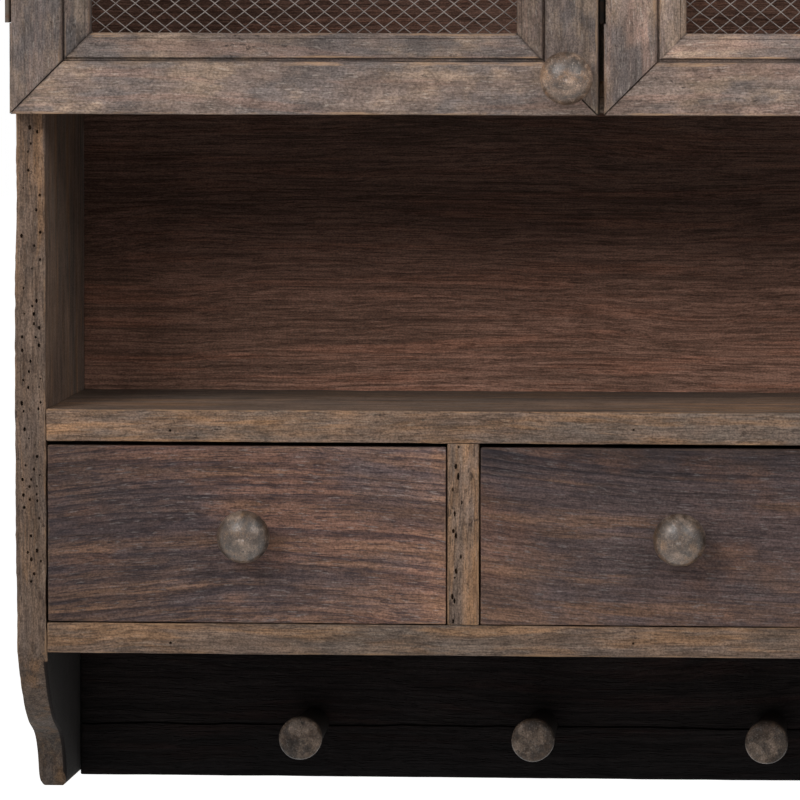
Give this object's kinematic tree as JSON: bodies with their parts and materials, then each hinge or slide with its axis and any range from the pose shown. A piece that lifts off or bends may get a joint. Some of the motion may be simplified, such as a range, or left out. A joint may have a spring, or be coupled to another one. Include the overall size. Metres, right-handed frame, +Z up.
{
  "type": "kitchen wall cabinet",
  "caption": "Reclaimed-wood kitchen wall cabinet with hinged mesh doors, an open niche, small drawers and a peg board below.",
  "frame": {"origin": "middle of the rear face of the back panel, on the wall plane, at half the cabinet's height and width", "axes": "+X along the width to the right as seen from the front, +Y into the wall, +Z up; the front faces -Y"},
  "size_m": [1.136, 0.2515, 1],
  "materials": {
    "carcass_wood": "worn reclaimed wood, dull wax",
    "top_wood": "worn reclaimed wood, dull wax",
    "back_wood": "reddish brown stained boards, fine grain",
    "rail_wood": "plain sawn batten",
    "peg_board_wood": "near black stained plank with a crack",
    "peg_wood": "turned, dark wax",
    "drawer_wood": "brown reclaimed wood with blue-black grain",
    "drawer_box_wood": "plain sawn pine",
    "knob_wood": "turned, grey-brown wax",
    "door_wood": "grey-brown weathered wood",
    "bead_wood": "grey-brown weathered wood",
    "galvanised_wire": "dull galvanised woven wire",
    "hinge_iron": "brown painted hinge iron"
  },
  "bodies": {
    "carcass": {"left_side": "carcass_wood", "right_side": "carcass_wood", "bottom_board": "carcass_wood", "niche_shelf": "carcass_wood", "cupboard_floor": "carcass_wood", "cupboard_divider_left": "carcass_wood", "cupboard_divider_right": "carcass_wood", "drawer_divider_left": "carcass_wood", "drawer_divider_centre": "carcass_wood", "drawer_divider_right": "carcass_wood", "top_board": "top_wood", "back_panel": "back_wood", "hanging_rail": "rail_wood", "peg_board": "peg_board_wood", "peg_1": "peg_wood", "peg_2": "peg_wood", "peg_3": "peg_wood", "peg_4": "peg_wood", "peg_5": "peg_wood", "peg_6": "peg_wood", "door_left_lower_hinge_carcass_leaf": "hinge_iron", "door_left_upper_hinge_carcass_leaf": "hinge_iron", "door_centre_lower_hinge_carcass_leaf": "hinge_iron", "door_centre_upper_hinge_carcass_leaf": "hinge_iron", "door_right_lower_hinge_carcass_leaf": "hinge_iron", "door_right_upper_hinge_carcass_leaf": "hinge_iron"},
    "door_left": {"door_left_frame": "door_wood", "door_left_bead": "bead_wood", "door_left_mesh": "galvanised_wire", "door_left_knob": "knob_wood", "door_left_lower_hinge_door_leaf": "hinge_iron", "door_left_upper_hinge_door_leaf": "hinge_iron"},
    "door_centre": {"door_centre_frame": "door_wood", "door_centre_bead": "bead_wood", "door_centre_mesh": "galvanised_wire", "door_centre_knob": "knob_wood", "door_centre_lower_hinge_door_leaf": "hinge_iron", "door_centre_upper_hinge_door_leaf": "hinge_iron"},
    "door_right": {"door_right_frame": "door_wood", "door_right_bead": "bead_wood", "door_right_mesh": "galvanised_wire", "door_right_knob": "knob_wood", "door_right_lower_hinge_door_leaf": "hinge_iron", "door_right_upper_hinge_door_leaf": "hinge_iron"},
    "drawer_1": {"drawer_1_front": "drawer_wood", "drawer_1_box": "drawer_box_wood", "drawer_1_bottom": "drawer_box_wood", "drawer_1_knob": "knob_wood"},
    "drawer_2": {"drawer_2_front": "drawer_wood", "drawer_2_box": "drawer_box_wood", "drawer_2_bottom": "drawer_box_wood", "drawer_2_knob": "knob_wood"},
    "drawer_3": {"drawer_3_front": "drawer_wood", "drawer_3_box": "drawer_box_wood", "drawer_3_bottom": "drawer_box_wood", "drawer_3_knob": "knob_wood"},
    "drawer_4": {"drawer_4_front": "drawer_wood", "drawer_4_box": "drawer_box_wood", "drawer_4_bottom": "drawer_box_wood", "drawer_4_knob": "knob_wood"}
  },
  "joints": [
    {"name": "door_left_swing", "type": "hinge", "parent": "carcass", "child": "door_left", "pos_m": [-0.5526, -0.2196, 0.2], "axis": [0, 0, -1], "range_deg": [0, 110]},
    {"name": "door_centre_swing", "type": "hinge", "parent": "carcass", "child": "door_centre", "pos_m": [-0.1838, -0.2196, 0.2], "axis": [0, 0, -1], "range_deg": [0, 92]},
    {"name": "door_right_swing", "type": "hinge", "parent": "carcass", "child": "door_right", "pos_m": [0.5526, -0.2196, 0.2], "axis": [0, 0, 1], "range_deg": [0, 110]},
    {"name": "drawer_1_slide", "type": "slide", "parent": "carcass", "child": "drawer_1", "axis": [0, -1, 0], "range_m": [0, 0.13]},
    {"name": "drawer_2_slide", "type": "slide", "parent": "carcass", "child": "drawer_2", "axis": [0, -1, 0], "range_m": [0, 0.13]},
    {"name": "drawer_3_slide", "type": "slide", "parent": "carcass", "child": "drawer_3", "axis": [0, -1, 0], "range_m": [0, 0.13]},
    {"name": "drawer_4_slide", "type": "slide", "parent": "carcass", "child": "drawer_4", "axis": [0, -1, 0], "range_m": [0, 0.13]}
  ]
}
